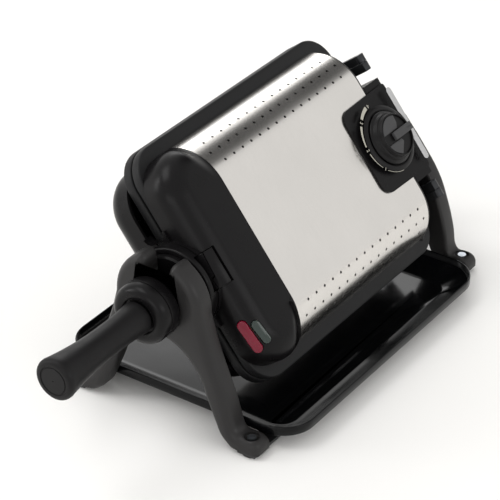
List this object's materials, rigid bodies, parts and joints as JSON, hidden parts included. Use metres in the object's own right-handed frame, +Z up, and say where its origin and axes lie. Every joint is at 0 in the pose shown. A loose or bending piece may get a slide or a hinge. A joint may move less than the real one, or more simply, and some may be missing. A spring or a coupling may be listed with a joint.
{
  "type": "waffle maker",
  "caption": "Rotating waffle maker: a clam-shell grill body with a steel cover turns by its handle in a black stand over a drip tray.",
  "frame": {"origin": "centre of the overall box on the table under the stand", "axes": "+X to the right seen from the handle, +Y from the handle to the back along the turning axis, +Z up"},
  "size_m": [0.225, 0.46, 0.2009],
  "materials": {
    "stand_plastic": "fine spark texture, satin",
    "bearing_nylon": "smooth nylon",
    "rail_steel": "black powder coat",
    "foot_rubber": "matt",
    "zinc_steel": "zinc plated",
    "tray_enamel": "high gloss black",
    "coated_plate": "non-stick coated casting",
    "sheet_aluminium": "mill finish",
    "element_sheath": "heat-dulled",
    "brushed_cover": "fine brushed satin",
    "black_moulding": "satin moulded",
    "hinge_casting": "satin black",
    "ceramic": "glazed ceramic",
    "panel_grey": "satin dark grey",
    "silver_trim": "satin silver",
    "scale_ink": "printed light grey",
    "red_lens": "tinted clear, glossy",
    "clear_lens": "clear, glossy",
    "lamp_glass": "clear bulb"
  },
  "bodies": {
    "stand": {"front_fork": "stand_plastic", "rear_support": "stand_plastic", "front_bush": "bearing_nylon", "rear_bush": "bearing_nylon", "base_rail_right": "rail_steel", "base_rail_left": "rail_steel", "rubber_feet": "foot_rubber", "stand_screws": "zinc_steel"},
    "drip_tray": {"drip_tray": "tray_enamel"},
    "grill_lower": {"lower_plate": "coated_plate", "lower_chassis": "sheet_aluminium", "lower_element": "element_sheath", "lower_reflector": "sheet_aluminium", "lower_cover": "brushed_cover", "lower_front_cap": "black_moulding", "lower_rear_cap": "black_moulding", "hub": "black_moulding", "hub_screws": "zinc_steel", "handle_core": "zinc_steel", "handle_shell_top": "black_moulding", "handle_shell_bottom": "black_moulding", "handle_nut": "zinc_steel", "rear_pivot": "black_moulding", "pivot_screws": "zinc_steel", "cord_gland": "foot_rubber", "hinge_ears": "hinge_casting", "hinge_pins": "zinc_steel", "terminal_block": "ceramic"},
    "lid": {"upper_plate": "coated_plate", "upper_chassis": "sheet_aluminium", "upper_element": "element_sheath", "upper_reflector": "sheet_aluminium", "upper_cover": "brushed_cover", "upper_front_cap": "black_moulding", "upper_rear_cap": "black_moulding", "hinge_knuckles": "hinge_casting", "thermostat": "ceramic", "thermostat_bracket": "sheet_aluminium", "thermal_fuse": "ceramic", "control_housing": "black_moulding", "control_panel": "panel_grey", "trim_strip": "silver_trim", "dial_scale": "scale_ink", "red_lens": "red_lens", "clear_lens": "clear_lens", "pilot_lamps": "lamp_glass", "lamp_holder": "ceramic", "latch_spring": "zinc_steel"},
    "control_knob": {"knob": "black_moulding", "knob_insert": "panel_grey", "knob_shaft": "zinc_steel"},
    "latch": {"latch_button": "black_moulding"}
  },
  "joints": [
    {"name": "body_rotation", "type": "hinge", "parent": "stand", "child": "grill_lower", "pos_m": [0, 0, 0.111], "axis": [0, 1, 0], "range_deg": [-52, 128]},
    {"name": "lid_hinge", "type": "hinge", "parent": "grill_lower", "child": "lid", "pos_m": [0.02364, 0.205, 0.12947], "axis": [0.6157, 0, -0.788], "range_deg": [-95, 0]},
    {"name": "thermostat_turn", "type": "hinge", "parent": "lid", "child": "control_knob", "pos_m": [0.03782, 0.166, 0.14055], "axis": [0.788, 0, 0.6157], "range_deg": [-30, 240]},
    {"name": "tray_slide", "type": "slide", "parent": "stand", "child": "drip_tray", "axis": [1, 0, 0], "range_m": [0, 0.24]},
    {"name": "latch_press", "type": "slide", "parent": "lid", "child": "latch", "axis": [0, 1, 0], "range_m": [0, 0.0025], "stiffness_N_per_m": 400, "springref_m": -0.001}
  ]
}
